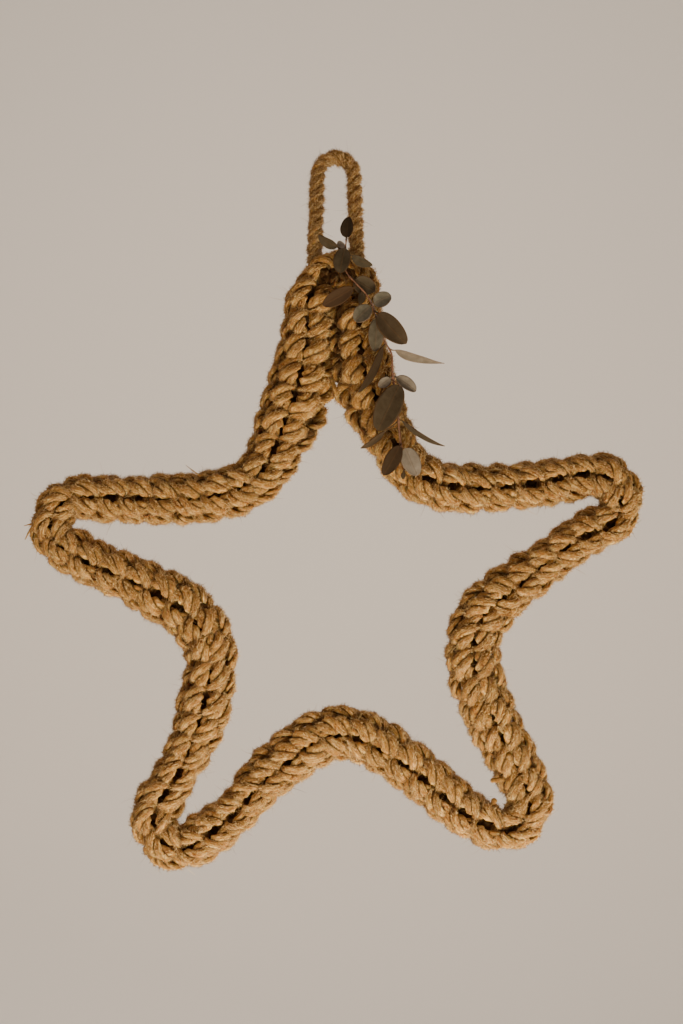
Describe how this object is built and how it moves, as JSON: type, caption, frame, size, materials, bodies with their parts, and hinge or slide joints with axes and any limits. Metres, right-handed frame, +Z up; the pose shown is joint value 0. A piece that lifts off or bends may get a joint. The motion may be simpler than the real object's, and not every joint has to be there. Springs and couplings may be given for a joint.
{
  "type": "crocheted star wreath",
  "caption": "Open star-shaped wreath of chunky crocheted jute rope with a rope hanging loop and a eucalyptus sprig on its upper arm.",
  "frame": {"origin": "inner top of the hanging loop, where it rests on what holds it", "axes": "+Z up as it hangs, the wreath's front faces -Y, +X to the viewer's right"},
  "size_m": [0.3715, 0.0404, 0.4372],
  "materials": {
    "jute_crochet": "three-strand natural jute rope, matt and hairy, worked in crochet",
    "jute_loop": "three-strand natural jute rope, matt and hairy",
    "stem_bark": "thin dry red-brown bark",
    "dried_leaf": "dried eucalyptus leaf, dull olive grey-brown",
    "pale_dried_leaf": "pale underside of a dried eucalyptus leaf"
  },
  "bodies": {
    "root": {"crocheted_star": "jute_crochet", "hanging_loop": "jute_loop", "sprig_stem": "stem_bark", "leaf_tip": "dried_leaf", "leaf_tip_left": "dried_leaf", "leaf_tip_bud": "dried_leaf", "leaf_tip_front": "dried_leaf", "leaf_tip_right": "dried_leaf", "leaf_upper_right": "dried_leaf", "leaf_upper_left": "dried_leaf", "leaf_upper_small": "dried_leaf", "leaf_round_right": "dried_leaf", "leaf_round_left": "dried_leaf", "leaf_pair_left": "dried_leaf", "leaf_pair_right": "dried_leaf", "leaf_long_right": "dried_leaf", "leaf_long_left": "dried_leaf", "leaf_pale_left": "pale_dried_leaf", "leaf_curled_right": "pale_dried_leaf", "leaf_large_front": "dried_leaf", "leaf_edge_left": "dried_leaf", "leaf_edge_right": "dried_leaf", "leaf_lower_dark": "dried_leaf", "leaf_lower_pale": "pale_dried_leaf", "leaf_foot_bud": "dried_leaf"}
  },
  "joints": []
}
